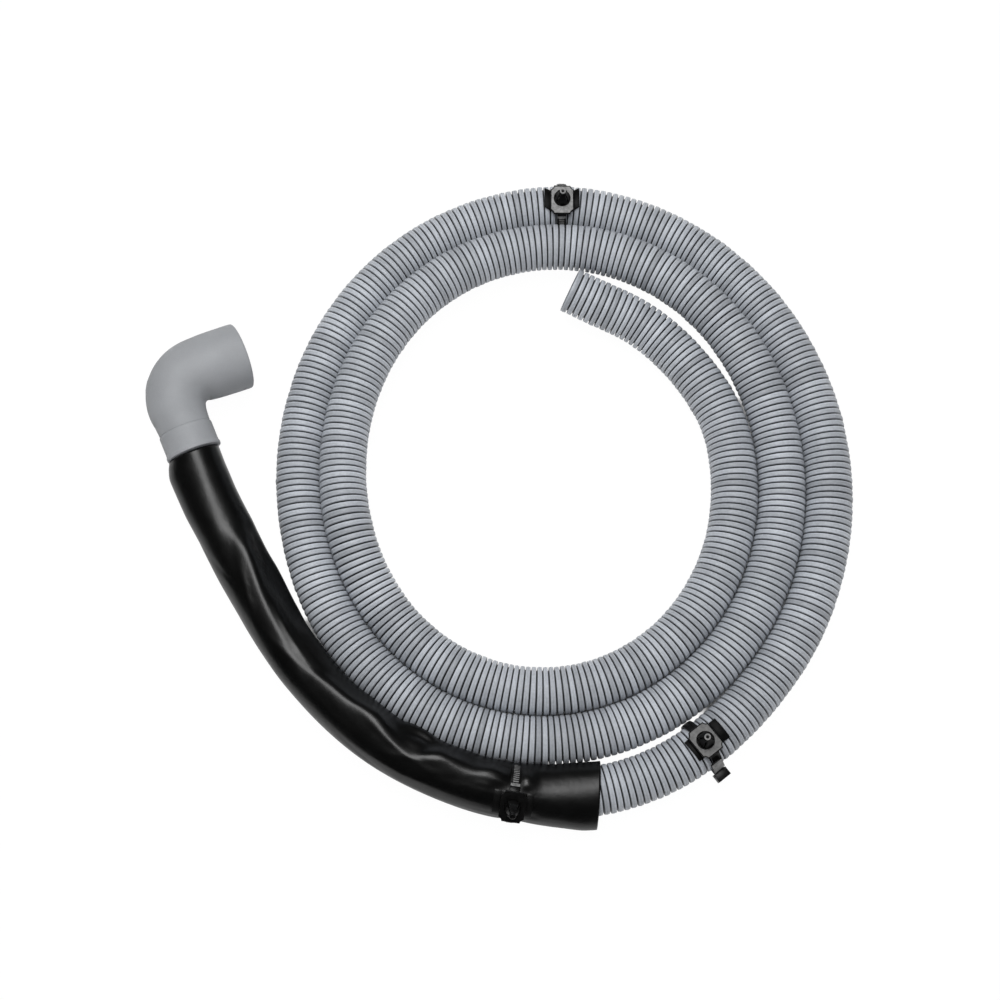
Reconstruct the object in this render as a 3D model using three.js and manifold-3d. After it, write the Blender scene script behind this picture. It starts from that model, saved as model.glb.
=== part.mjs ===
// Washing machine drain hose: one corrugated hose wound two and a half turns flat on the floor,
// a push-on rubber elbow, a loose plastic sleeve over the first stretch, and three cable ties,
// each holding a push mount with a fir-tree pin.
// Millimetres, +Z up, resting on z = 0. The hose runs anticlockwise from the elbow to its free end.
import * as THREE from 'three';
import Module from 'manifold-3d';
import { mergeVertices } from 'three/addons/utils/BufferGeometryUtils.js';

const wasm = await Module();
wasm.setup();

// Hose
const hoseDiameter = 27.2;
const hoseWall = 2.2;
const hoseSides = 12;
const clearance = 0.3;
const hoseRadius = hoseDiameter / 2;
const boreRadius = hoseRadius - hoseWall;

// Coil: one spiral about a centre, drawn slightly out of round
const coilX = 24;
const coilY = 16;
const coilRadius = 146.8;
const coilRadiusAngle = 650;
const turnGap = 0.4;
const turnPitch = hoseDiameter + turnGap;
const shiftX = 5.8;
const shiftY = -0.9;
const ovalX = -6.3;
const ovalY = 0.65;
const firstCoilAngle = 290;
const coilSteps = 67;
const coilStep = 12;

// The middle turn rides up on the shoulder of the outer turn between these angles
const rideHeight = 8.5;
const rideStart = 700;
const rideRun = 80;
const rideEnd = 912;
const rideDrop = 40;

// The outer turn stands off where it leaves the sleeve and where a strap passes inside it
const flareOut = 3;
const flareAngle = 288;
const flareRun = 26;
const strapBulge = 2.2;
const strapBulgeAngle = 440;
const strapBulgeWidth = 42;

// Sleeve
const sleeveWall = 0.6;
const sleeveSides = 24;
const sleeveStartGap = 0.5;
const sleeveEndSkew = 0.32;
const sleeveTieIndex = 11;

// Cable ties
const strapWidth = 4.8;
const strapThickness = 1.2;
const strapPlay = 0.45;
const strapSides = 36;
const headWidth = 8.2;
const headLength = 6;
const headHeight = 5;
const headBulgeWidth = 34;
const lowerTieAngle = 299.4;
const upperTieAngle = 445.4;

// Push mounts
const saddleLength = 22.4;
const saddleThickness = 1.2;
const saddleHalfAngle = 26;
const saddleMargin = 4;
const saddleEase = 12;
const saddleArcSteps = 6;
const postWidth = 2.4;
const postDepth = 9;
const plateLength = 14;
const plateWidth = 17.6;
const plateThickness = 1.6;
const plateNotch = 2.2;
const notchArcSteps = 4;
const pinHeight = 12;
const pinRadius = 1.3;
const barbSpan = 8.6;
const barbFoot = 1;
const barbDepth = 4.4;
const barbWall = 1.1;
const roundSides = 16;

// Elbow
const armLength = 46.5;
const mouthArmLength = 47.3;
const mouthRadius = 20;
const mouthWall = 3;
const mouthShoulder = 21;
const socketDepth = 22;
const bendMouthRadius = 19.2;
const bendNeckRadius = 16.6;
const bendBulge = 0.8;
const pivotGap = 2;
const passageWall = 4.5;
const collarWall = 1.95;
const collarLength = 15.2;
const collarStep = 0.4;
const lipLength = 2.6;
const lipHeight = 0.5;
const insertion = 18;
const bendSteps = 8;
const elbowSides = 24;
const outletHeading = -67.2;
const outletDip = 9;
const mouthHeading = 25;
const mouthDip = 13;
const collarAngle = 177.25;
const collarOutside = 55.5;
const collarHeight = 22.7;

const up = new THREE.Vector3(0, 0, 1);
const radians = THREE.MathUtils.degToRad;

const materials = {
  hose: new THREE.MeshStandardMaterial({ color: 0xb9bec4, roughness: 0.5, metalness: 0 }),
  elbow: new THREE.MeshStandardMaterial({ color: 0xb4b7ba, roughness: 0.62, metalness: 0 }),
  sleeve: new THREE.MeshStandardMaterial({ color: 0x2b2b2c, roughness: 0.28, metalness: 0 }),
  tie: new THREE.MeshStandardMaterial({ color: 0x2a2a2c, roughness: 0.4, metalness: 0 }),
  mount: new THREE.MeshStandardMaterial({ color: 0x333538, roughness: 0.38, metalness: 0 }),
};

// Eases from 0 to 1 while value runs from 0 to 1
function ease(value) {
  return THREE.MathUtils.smoothstep(value, 0, 1);
}

function bell(value) {
  return Math.exp(-(value ** 2));
}

function heading(angle, dip) {
  const level = Math.cos(radians(dip));
  const x = Math.cos(radians(angle)) * level;
  const y = Math.sin(radians(angle)) * level;
  return new THREE.Vector3(x, y, -Math.sin(radians(dip)));
}

// Shapes

// A ring of points about a centre, from the first axis towards the second
function ring(centre, first, second, firstRadius, secondRadius, sides) {
  return Array.from({ length: sides }, (_, side) => {
    const angle = 2 * Math.PI * side / sides;
    return centre.clone()
      .addScaledVector(first, firstRadius * Math.cos(angle))
      .addScaledVector(second, secondRadius * Math.sin(angle));
  });
}

// Rings joined one after another, the last one back to the first, as one closed surface
function closedBand(rings) {
  const sides = rings[0].length;
  const indices = [];
  rings.forEach((_, row) => {
    const nextRow = (row + 1) % rings.length;
    for (let side = 0; side < sides; side += 1) {
      const nextSide = (side + 1) % sides;
      const a = row * sides + side;
      const b = row * sides + nextSide;
      const c = nextRow * sides + nextSide;
      const d = nextRow * sides + side;
      indices.push(a, b, c, a, c, d);
    }
  });
  const geometry = new THREE.BufferGeometry().setFromPoints(rings.flat());
  geometry.setIndex(indices);
  geometry.computeVertexNormals();
  return geometry;
}

function pipe(outerRings, innerRings) {
  return closedBand([...outerRings, ...innerRings.toReversed()]);
}

function toManifold(geometry) {
  const bare = new THREE.BufferGeometry();
  bare.setAttribute('position', geometry.getAttribute('position'));
  if (geometry.index) bare.setIndex(geometry.index);
  const merged = mergeVertices(bare, 1e-4);
  return new wasm.Manifold(new wasm.Mesh({
    numProp: 3,
    vertProperties: new Float32Array(merged.getAttribute('position').array),
    triVerts: new Uint32Array(merged.index.array),
  }));
}

function joined(geometries) {
  const mesh = wasm.Manifold.union(geometries.map(toManifold)).getMesh();
  const geometry = new THREE.BufferGeometry();
  geometry.setAttribute('position', new THREE.BufferAttribute(mesh.vertProperties, 3));
  geometry.setIndex(new THREE.BufferAttribute(mesh.triVerts, 1));
  geometry.computeVertexNormals();
  return geometry;
}

function block(width, depth, height, x, y, z) {
  return new THREE.BoxGeometry(width, depth, height).translate(x, y, z);
}

// Route of the hose

// A point by its angle about the coil's centre and its distance outside the coil's radius
function aroundCoil(angle, outside, z) {
  const radius = coilRadius + outside;
  const x = coilX + radius * Math.cos(radians(angle));
  const y = coilY + radius * Math.sin(radians(angle));
  return new THREE.Vector3(x, y, z);
}

const outlet = heading(outletHeading, outletDip);
const collarEnd = aroundCoil(collarAngle, collarOutside, collarHeight);
const hoseStart = collarEnd.clone().addScaledVector(outlet, -insertion);
const sleevedHeight = hoseRadius + clearance + sleeveWall;
const strapLift = strapPlay + strapThickness;

// Hand-chosen points under the sleeve: angle about the coil's centre, how far outside the coil's radius,
// and the rise above the height the sleeve rests at
const lead = [
  [185.36, 45.8, 3.5],
  [194.8, 38.2, 1],
  [204.4, 32.3, 0],
  [213.59, 30.5, 0],
  [223.17, 30.6, 0.6],
  [232.16, 31.9, 3],
  [240.95, 33.6, 4.5],
  [249.19, 35.1, 4.5],
  [256.85, 36.9, 3],
  [264.8, 38.4, strapLift],
  [272.16, 38.9, 0.6],
  [279.8, 38.9, 0],
].map(([angle, outside, rise]) => aroundCoil(angle, outside, sleevedHeight + rise));

// Hand-chosen points of the free end, which springs up beside the middle turn
const tail = [
  [391.09, -35.6, 0],
  [405.95, -36.1, 0.6],
  [419.91, -36.3, 3.4],
  [430.25, -36.7, 6.4],
  [440.87, -33.4, 9.6],
].map(([angle, outside, rise]) => aroundCoil(angle, outside, hoseRadius + rise));
const freeEndPoints = 3;
const leadIndex = 2;

function rideLift(angle) {
  return rideHeight * ease((angle - rideStart) / rideRun) * (1 - ease((angle - rideEnd) / rideDrop));
}

function coilRadiusAt(angle) {
  const a = radians(angle);
  const spiral = coilRadius - turnPitch * (angle - coilRadiusAngle) / 360
    + shiftX * Math.cos(a) + shiftY * Math.sin(a)
    + ovalX * Math.cos(2 * a) + ovalY * Math.sin(2 * a);
  const tuck = turnPitch - Math.sqrt(turnPitch ** 2 - rideLift(angle + 360) ** 2);
  const flare = flareOut * (1 - ease((angle - flareAngle) / flareRun));
  const bulge = strapBulge * bell((angle - strapBulgeAngle) / strapBulgeWidth);
  return spiral - tuck + flare + bulge;
}

function coilPoint(angle) {
  const radius = coilRadiusAt(angle);
  const x = coilX + radius * Math.cos(radians(angle));
  const y = coilY + radius * Math.sin(radians(angle));
  const overLowerTie = bell((angle - lowerTieAngle) / coilStep);
  const overUpperTie = bell((angle - upperTieAngle) / coilStep);
  const lift = rideLift(angle) + strapLift * (overLowerTie + overUpperTie);
  return new THREE.Vector3(x, y, hoseRadius + lift);
}

// Even steps, except that each tie has a point of its own
const tieAngles = [lowerTieAngle, upperTieAngle];
const coilAngles = Array.from({ length: coilSteps + 1 }, (_, step) => firstCoilAngle + coilStep * step)
  .filter((angle) => tieAngles.every((tie) => Math.abs(angle - tie) > coilStep / 3))
  .concat(tieAngles)
  .sort((a, b) => a - b);
const coil = coilAngles.map(coilPoint);
const route = [hoseStart, collarEnd, ...lead, ...coil, ...tail];

// The hose's own axes at a point of the route: ahead, to its left and up
function axesAt(index) {
  const before = route[Math.max(index - 1, 0)];
  const after = route[Math.min(index + 1, route.length - 1)];
  const ahead = after.clone().sub(before).normalize();
  const left = up.clone().cross(ahead).normalize();
  return { ahead, left, above: ahead.clone().cross(left) };
}

// Axes of the start, square to the elbow's outlet
function startAxes() {
  const left = up.clone().cross(outlet).normalize();
  return { ahead: outlet, left, above: outlet.clone().cross(left) };
}

function hoseRings(firstIndex, lastIndex, radius, startShift, endShift) {
  const rings = [];
  for (let index = firstIndex; index <= lastIndex; index += 1) {
    const axes = index < leadIndex ? startAxes() : axesAt(index);
    const centre = route[index].clone();
    if (index === firstIndex) centre.addScaledVector(axes.ahead, startShift);
    if (index === lastIndex) centre.addScaledVector(axes.ahead, -endShift);
    rings.push(ring(centre, axes.left, axes.above, radius, radius, hoseSides));
  }
  return rings;
}

function hoseGeometry(firstIndex, lastIndex, startShift, endShift) {
  return pipe(
    hoseRings(firstIndex, lastIndex, hoseRadius, startShift, endShift),
    hoseRings(firstIndex, lastIndex, boreRadius, startShift, endShift),
  );
}

// Sleeve

// How far the loose film stands out from the hose at each of its rings: left, then right
const sleeveSlack = [
  [0.6, 3.2],
  [2.8, 2],
  [4.2, 0.2],
  [4, 0],
  [2, 0],
  [0, 0],
  [0, 0],
  [0, 0],
  [0, 0],
  [0, 0],
  [0, 0],
  [1, 2.8],
  [1.2, 7],
];

function sleeveRing(index, slack, inset) {
  const axes = index < leadIndex ? startAxes() : axesAt(index);
  const centre = route[index].clone();
  if (index === 1) centre.addScaledVector(axes.ahead, sleeveStartGap);
  const radius = sleevedHeight - inset;
  const skew = index === sleeveSlack.length ? sleeveEndSkew : 0;
  return Array.from({ length: sleeveSides }, (_, side) => {
    const angle = 2 * Math.PI * side / sleeveSides;
    const reach = Math.cos(angle);
    const spare = reach > 0 ? slack[0] : slack[1];
    const sideways = (radius + spare * Math.abs(reach)) * reach;
    return centre.clone()
      .addScaledVector(axes.left, sideways)
      .addScaledVector(axes.ahead, skew * sideways)
      .addScaledVector(axes.above, radius * Math.sin(angle));
  });
}

function sleeveGeometry() {
  const outer = sleeveSlack.map((slack, row) => sleeveRing(row + 1, slack, 0));
  const inner = sleeveSlack.map((slack, row) => sleeveRing(row + 1, slack, sleeveWall));
  return pipe(outer, inner);
}

// Cable tie, drawn with the hose along X and its mount towards +Z

const saddleRise = saddleThickness + clearance;

// The strap's inner radius: it passes over the saddle and stands off a little towards its head
function strapRadius(tie, angle) {
  const beyondSaddle = Math.abs(angle) - saddleHalfAngle;
  const overSaddle = saddleRise * (1 - ease((beyondSaddle - saddleMargin) / saddleEase));
  const towardsHead = tie.headStandOff * bell((angle - tie.headAngle) / headBulgeWidth);
  return tie.seat + strapPlay + overSaddle + towardsHead;
}

function strapGeometry(tie) {
  const rings = [];
  for (let side = 0; side < strapSides; side += 1) {
    const angle = 360 * side / strapSides - 180;
    const inner = strapRadius(tie, angle);
    const outward = new THREE.Vector3(0, -Math.sin(radians(angle)), Math.cos(radians(angle)));
    rings.push([
      outward.clone().multiplyScalar(inner).setX(-strapWidth / 2),
      outward.clone().multiplyScalar(inner).setX(strapWidth / 2),
      outward.clone().multiplyScalar(inner + strapThickness).setX(strapWidth / 2),
      outward.clone().multiplyScalar(inner + strapThickness).setX(-strapWidth / 2),
    ]);
  }
  return closedBand(rings);
}

function tieGeometry(tie) {
  const headCentre = strapRadius(tie, tie.headAngle) + (strapThickness + headHeight) / 2;
  const head = new THREE.BoxGeometry(headWidth, headLength, headHeight)
    .translate(0, 0, headCentre)
    .rotateX(radians(tie.headAngle));
  return joined([strapGeometry(tie), head]);
}

// Push mount, drawn with the hose along X and the pin towards +Z

function saddleGeometry(seatRadius) {
  const inner = seatRadius + clearance;
  const outer = inner + saddleThickness;
  const spread = radians(saddleHalfAngle);
  const arc = new THREE.Shape();
  arc.absarc(0, 0, outer, Math.PI / 2 - spread, Math.PI / 2 + spread, false);
  arc.absarc(0, 0, inner, Math.PI / 2 + spread, Math.PI / 2 - spread, true);
  const settings = { depth: saddleLength, bevelEnabled: false, curveSegments: saddleArcSteps };
  return new THREE.ExtrudeGeometry(arc, settings)
    .translate(0, 0, -saddleLength / 2)
    .rotateX(Math.PI / 2)
    .rotateZ(Math.PI / 2);
}

function plateGeometry(bottom) {
  const x = plateLength / 2;
  const y = plateWidth / 2;
  const outline = new THREE.Shape();
  outline.absarc(x, y, plateNotch, -Math.PI / 2, -Math.PI, true);
  outline.absarc(-x, y, plateNotch, 0, -Math.PI / 2, true);
  outline.absarc(-x, -y, plateNotch, Math.PI / 2, 0, true);
  outline.absarc(x, -y, plateNotch, Math.PI, Math.PI / 2, true);
  const settings = { depth: plateThickness, bevelEnabled: false, curveSegments: notchArcSteps };
  return new THREE.ExtrudeGeometry(outline, settings).translate(0, 0, bottom);
}

// The two spring barbs of the pin, flaring from its tip down to just above the plate
function barbGeometry(bottom, top) {
  const half = barbSpan / 2;
  const foot = bottom + barbFoot;
  const outline = new THREE.Shape();
  outline.moveTo(-pinRadius, top);
  outline.lineTo(-half, foot);
  outline.lineTo(-half + barbWall, foot);
  outline.lineTo(0, top - 2 * barbWall);
  outline.lineTo(half - barbWall, foot);
  outline.lineTo(half, foot);
  outline.lineTo(pinRadius, top);
  return new THREE.ExtrudeGeometry(outline, { depth: barbDepth, bevelEnabled: false })
    .translate(0, 0, -barbDepth / 2)
    .rotateX(Math.PI / 2)
    .rotateZ(Math.PI / 2);
}

function mountGeometry(seatRadius) {
  const saddleTop = seatRadius + clearance + saddleThickness;
  const plateBottom = saddleTop + strapPlay + strapThickness + clearance;
  const plateTop = plateBottom + plateThickness;
  const pinTop = plateTop + pinHeight;
  const postX = strapWidth / 2 + clearance + postWidth / 2;
  const postBottom = saddleTop - saddleThickness / 2;
  const postTop = plateBottom + plateThickness / 2;
  const posts = [-postX, postX].map((x) => {
    return block(postWidth, postDepth, postTop - postBottom, x, 0, (postTop + postBottom) / 2);
  });
  const pin = new THREE.CylinderGeometry(pinRadius, pinRadius, pinTop - postTop, roundSides)
    .rotateX(Math.PI / 2)
    .translate(0, 0, (pinTop + postTop) / 2);
  return joined([
    saddleGeometry(seatRadius),
    ...posts,
    plateGeometry(plateBottom),
    pin,
    barbGeometry(plateTop, pinTop - barbWall),
  ]);
}

// Elbow

const armIn = outlet.clone();
const mouthGuess = heading(mouthHeading, mouthDip);
const mouthAxis = mouthGuess.clone().addScaledVector(armIn, -mouthGuess.dot(armIn)).normalize();
const corner = collarEnd.clone().addScaledVector(armIn, -armLength);
const flat = armIn.clone().cross(mouthAxis);
const collarRadius = hoseRadius + clearance + collarWall;
const neckRadius = collarRadius - collarStep;
const pivotReach = bendMouthRadius + pivotGap;

// A point of the elbow's own plane, by its reach along the mouth arm and the outlet arm
function elbowPoint(alongMouth, alongOutlet) {
  return corner.clone().addScaledVector(mouthAxis, alongMouth).addScaledVector(armIn, alongOutlet);
}

function mouthRing(reach, radius) {
  return ring(elbowPoint(reach, 0), armIn, flat, radius, radius, elbowSides);
}

function outletRing(reach, radius) {
  return ring(elbowPoint(0, reach), mouthAxis, flat, radius, radius, elbowSides);
}

// The bend fans its rings about a pivot just outside the inner corner
function bendRings(inset) {
  const pivot = elbowPoint(pivotReach, pivotReach);
  return Array.from({ length: bendSteps + 1 }, (_, step) => {
    const share = step / bendSteps;
    const angle = share * Math.PI / 2;
    const nominal = THREE.MathUtils.lerp(bendMouthRadius, bendNeckRadius, share);
    const full = Math.sin(2 * angle);
    const near = pivotReach - nominal;
    const far = pivotReach + nominal + bendBulge * full;
    const towards = armIn.clone().multiplyScalar(Math.cos(angle))
      .addScaledVector(mouthAxis, Math.sin(angle));
    const centre = pivot.clone().addScaledVector(towards, -(near + far) / 2);
    const inPlane = (far - near) / 2 - inset;
    return ring(centre, towards, flat, inPlane, nominal - inset, elbowSides);
  });
}

function elbowGeometry() {
  const lipStart = armLength - lipLength;
  const outer = [
    mouthRing(mouthArmLength, mouthRadius),
    mouthRing(mouthArmLength - mouthShoulder, mouthRadius),
    ...bendRings(0),
    outletRing(armLength - collarLength, neckRadius),
    outletRing(armLength - collarLength + collarStep, collarRadius),
    outletRing(lipStart, collarRadius),
    outletRing(lipStart + lipHeight, collarRadius + lipHeight),
    outletRing(armLength, collarRadius + lipHeight),
  ];
  const seat = armLength - insertion - clearance;
  const inner = [
    mouthRing(mouthArmLength, mouthRadius - mouthWall),
    mouthRing(mouthArmLength - socketDepth, mouthRadius - mouthWall),
    ...bendRings(passageWall),
    outletRing(seat, boreRadius),
    outletRing(seat, hoseRadius + clearance),
    outletRing(armLength, hoseRadius + clearance),
  ];
  return pipe(outer, inner);
}

// Assembly

const group = new THREE.Group();

function addMesh(name, geometry, material) {
  const mesh = new THREE.Mesh(geometry, material);
  mesh.name = name;
  group.add(mesh);
  return mesh;
}

// Turns a piece drawn along X and towards +Z to sit on the hose, tilted outwards from the top
function seatOnHose(mesh, index, tilt) {
  const { ahead, left, above } = axesAt(index);
  const facing = above.clone().multiplyScalar(Math.cos(radians(tilt)))
    .addScaledVector(left, -Math.sin(radians(tilt)));
  const across = facing.clone().cross(ahead);
  mesh.position.copy(route[index]);
  mesh.quaternion.setFromRotationMatrix(new THREE.Matrix4().makeBasis(ahead, across, facing));
}

const lastIndex = route.length - 1;
const cutIndex = route.length - freeEndPoints;
addMesh('hose', hoseGeometry(0, cutIndex, 0, clearance / 2), materials.hose);
addMesh('hose_free_end', hoseGeometry(cutIndex, lastIndex, clearance / 2, 0), materials.hose);
addMesh('elbow', elbowGeometry(), materials.elbow);
addMesh('sleeve', sleeveGeometry(), materials.sleeve);

const coilIndex = leadIndex + lead.length;
const lowerTieIndex = coilIndex + coilAngles.indexOf(lowerTieAngle);
const upperTieIndex = coilIndex + coilAngles.indexOf(upperTieAngle);
const ties = [
  { name: 'sleeve', index: sleeveTieIndex, seat: sleevedHeight, tilt: 27, headAngle: -157, headStandOff: 0 },
  { name: 'lower', index: lowerTieIndex, seat: hoseRadius, tilt: -4, headAngle: 94, headStandOff: 1.8 },
  { name: 'upper', index: upperTieIndex, seat: hoseRadius, tilt: -5, headAngle: 120, headStandOff: 0 },
];
for (const tie of ties) {
  const { name, index, tilt } = tie;
  seatOnHose(addMesh(`cable_tie_${name}`, tieGeometry(tie), materials.tie), index, tilt);
  seatOnHose(addMesh(`push_mount_${name}`, mountGeometry(tie.seat), materials.mount), index, tilt);
}

// The origin is the middle of the part's box, at floor level
const box = new THREE.Box3().setFromObject(group, true);
const middle = box.getCenter(new THREE.Vector3());
group.position.set(-middle.x, -middle.y, -box.min.z);

export default group;
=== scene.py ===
"""Washing machine drain hose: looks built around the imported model, in metres, in its frame."""
import math

import bmesh
import bpy
import numpy as np
from mathutils import Euler, Matrix, Vector


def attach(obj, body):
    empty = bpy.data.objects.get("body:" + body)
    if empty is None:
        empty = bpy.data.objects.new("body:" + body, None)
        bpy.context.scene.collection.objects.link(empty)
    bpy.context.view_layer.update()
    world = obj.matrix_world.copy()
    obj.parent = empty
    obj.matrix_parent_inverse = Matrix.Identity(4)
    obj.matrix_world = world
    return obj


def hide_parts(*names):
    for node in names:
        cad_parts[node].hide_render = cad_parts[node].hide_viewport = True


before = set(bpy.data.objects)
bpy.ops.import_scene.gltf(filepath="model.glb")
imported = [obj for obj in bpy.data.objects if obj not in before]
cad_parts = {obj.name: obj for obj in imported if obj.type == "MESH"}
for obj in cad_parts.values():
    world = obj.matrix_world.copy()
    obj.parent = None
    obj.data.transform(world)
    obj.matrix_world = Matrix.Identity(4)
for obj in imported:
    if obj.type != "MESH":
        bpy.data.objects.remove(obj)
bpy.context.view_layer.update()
bpy.ops.object.select_all(action="DESELECT")

MM = 0.001
# Where the model's source puts its origin, in its own drawing
ORIGIN = Vector((0.652, -7.153, 0.0756))

# Camera, in the drawing's millimetres
CAMERA_PLACE = Vector((0.0, -221.2, 851.0))
CAMERA_AIM = Vector((0.0, 0.0, 13.75))
CAMERA_LENS = 53.316

# Hose
HOSE_DIAMETER = 27.2
HOSE_RADIUS = HOSE_DIAMETER / 2
RIB_RADIUS = 13.78
BORE_RADIUS = 11.4
CLEARANCE = 0.3
SLEEVE_WALL = 0.6
SLEEVED_HEIGHT = HOSE_RADIUS + CLEARANCE + SLEEVE_WALL
STRAP_THICKNESS = 1.2
STRAP_PLAY = 0.45
STRAP_LIFT = STRAP_PLAY + STRAP_THICKNESS
RIB_PITCH = 3.6
HOSE_SIDES = 26
# Each rib's profile: place along the pitch, depth below the crest, and how far up the rib it is
RIB_PROFILE = ((0.06, 2.1, 0.0), (0.14, 0.24, 0.3), (0.5, 0.0, 1.0), (0.86, 0.24, 0.3), (0.94, 2.1, 0.0))
# How far a rib wanders from the one before and at most, and how its girth varies
RIB_WANDER, RIB_WANDER_MOST, RIB_GIRTH = 0.03, 0.3, 0.07
# The bore has one ring for this many ribs, and its own place on the crest's scale, which gives it part of
# the grooves' painted shade
BORE_STEP, BORE_SHADE_LEVEL = 4, 0.2
# The hose's UV map counts its length in these steps
UV_STEP = 100


def millimetres(point):
    """A point of the drawing in the model's frame, in metres."""
    return (Vector(point) + ORIGIN) * MM


def soften(share):
    return share * share * (3 - 2 * share)


def ease(value):
    return soften(min(max(value, 0.0), 1.0))


def bell(value):
    return math.exp(-value * value)


def heading(angle, dip):
    level = math.cos(math.radians(dip))
    return Vector((
        math.cos(math.radians(angle)) * level,
        math.sin(math.radians(angle)) * level,
        -math.sin(math.radians(dip)),
    ))


def aimed(name, data, place, target):
    """Adds a camera or a light that looks from its place at its target."""
    made = bpy.data.objects.new(name, data)
    bpy.context.scene.collection.objects.link(made)
    made.location = place
    made.rotation_euler = (Vector(target) - Vector(place)).to_track_quat("-Z", "Y").to_euler()
    return made


# Camera

camera_data = bpy.data.cameras.new("camera")
camera_data.lens = CAMERA_LENS
camera_data.clip_start = 0.01
camera_data.clip_end = 50
camera_place, camera_aim = millimetres(CAMERA_PLACE), millimetres(CAMERA_AIM)
bpy.context.scene.camera = aimed("camera", camera_data, camera_place, camera_aim)

# Route of the hose: the same points as in the model's source

COIL_X, COIL_Y, COIL_RADIUS = 24.0, 16.0, 146.8


def about_centre(angle, radius, z):
    turn = math.radians(angle)
    return Vector((COIL_X + radius * math.cos(turn), COIL_Y + radius * math.sin(turn), z))


def around_coil(angle, outside, z):
    """A point by its angle about the coil's centre and its distance outside the coil's radius."""
    return about_centre(angle, COIL_RADIUS + outside, z)


OUTLET = heading(-67.2, 9)
COLLAR_END = around_coil(177.25, 55.5, 22.7)
INSERTION = 18.0
hose_start = COLLAR_END - INSERTION * OUTLET
lead = [
    around_coil(angle, outside, SLEEVED_HEIGHT + rise) for angle, outside, rise in (
        (185.36, 45.8, 3.5), (194.8, 38.2, 1), (204.4, 32.3, 0), (213.59, 30.5, 0),
        (223.17, 30.6, 0.6), (232.16, 31.9, 3), (240.95, 33.6, 4.5), (249.19, 35.1, 4.5),
        (256.85, 36.9, 3), (264.8, 38.4, STRAP_LIFT), (272.16, 38.9, 0.6), (279.8, 38.9, 0),
    )
]
tail = [
    around_coil(angle, outside, HOSE_RADIUS + rise) for angle, outside, rise in (
        (391.09, -35.6, 0), (405.95, -36.1, 0.6), (419.91, -36.3, 3.4), (430.25, -36.7, 6.4),
        (440.87, -33.4, 9.6),
    )
]

TURN_PITCH = HOSE_DIAMETER + 0.4
# The coil is a spiral, a little out of round: times round a turn, with its cosine and sine parts
SPIRAL_MIDDLE = 650
OUT_OF_ROUND = ((1, 5.8, -0.9), (2, -6.3, 0.65))
# The inner turn rides on the one outside it: how high, and where it climbs up and comes down
RIDE_HEIGHT, CLIMB_FROM, CLIMB_SPAN, DESCENT_FROM, DESCENT_SPAN = 8.5, 700, 80, 912, 40
# The outer turn stands off where it leaves the sleeve and where a strap passes inside it
FLARE, FLARE_FROM, FLARE_SPAN = 3, 288, 26
STRAP_BULGE, STRAP_BULGE_ANGLE, STRAP_BULGE_WIDTH = 2.2, 440, 42
TIE_ANGLES = LOWER_TIE_ANGLE, UPPER_TIE_ANGLE = 299.4, 445.4
TIE_HUMP_WIDTH = 12
COIL_FROM, COIL_STEP, COIL_STEPS = 290, 12, 68
CLEAR_OF_TIE = 4


def ride_lift(angle):
    climb = ease((angle - CLIMB_FROM) / CLIMB_SPAN)
    return RIDE_HEIGHT * climb * (1 - ease((angle - DESCENT_FROM) / DESCENT_SPAN))


def coil_radius(angle):
    radius = COIL_RADIUS - TURN_PITCH * (angle - SPIRAL_MIDDLE) / 360
    for times, cosine, sine in OUT_OF_ROUND:
        turn = times * math.radians(angle)
        radius += cosine * math.cos(turn) + sine * math.sin(turn)
    tuck = TURN_PITCH - math.sqrt(TURN_PITCH ** 2 - ride_lift(angle + 360) ** 2)
    flare = FLARE * (1 - ease((angle - FLARE_FROM) / FLARE_SPAN))
    bulge = STRAP_BULGE * bell((angle - STRAP_BULGE_ANGLE) / STRAP_BULGE_WIDTH)
    return radius - tuck + flare + bulge


def coil_point(angle):
    over_ties = sum(bell((angle - tie) / TIE_HUMP_WIDTH) for tie in TIE_ANGLES)
    height = HOSE_RADIUS + ride_lift(angle) + STRAP_LIFT * over_ties
    return about_centre(angle, coil_radius(angle), height)


coil_angles = sorted([
    angle for angle in range(COIL_FROM, COIL_FROM + COIL_STEP * COIL_STEPS, COIL_STEP)
    if all(abs(angle - tie) > CLEAR_OF_TIE for tie in TIE_ANGLES)
] + list(TIE_ANGLES))
route = [hose_start, COLLAR_END, *lead, *[coil_point(a) for a in coil_angles], *tail]


def spline(points, fineness):
    """A smooth line through the points, as many samples, with the place of each point along it."""
    p = np.array([tuple(q) for q in points])
    spans = np.linalg.norm(np.diff(p, axis=0), axis=1)
    knots = np.concatenate([[0.0], np.cumsum(spans)])
    count = len(p)
    matrix = np.eye(count)
    right = np.zeros((count, 3))
    for i in range(1, count - 1):
        matrix[i, i - 1] = spans[i - 1]
        matrix[i, i] = 2 * (spans[i - 1] + spans[i])
        matrix[i, i + 1] = spans[i]
        right[i] = 6 * ((p[i + 1] - p[i]) / spans[i] - (p[i] - p[i - 1]) / spans[i - 1])
    bend = np.linalg.solve(matrix, right)
    samples = []
    for i in range(count - 1):
        for t in np.linspace(0, spans[i], fineness, endpoint=False):
            a, b = (spans[i] - t) / spans[i], t / spans[i]
            cubic = ((a ** 3 - a) * bend[i] + (b ** 3 - b) * bend[i + 1]) * spans[i] ** 2 / 6
            samples.append(a * p[i] + b * p[i + 1] + cubic)
    samples.append(p[-1])
    line = np.array(samples)
    steps = np.linalg.norm(np.diff(line, axis=0), axis=1)
    along = np.concatenate([[0.0], np.cumsum(steps)])
    return line, along, along[::fineness]


line, line_along, route_along = spline(route, 30)
HOSE_LENGTH = float(line_along[-1])


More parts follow.
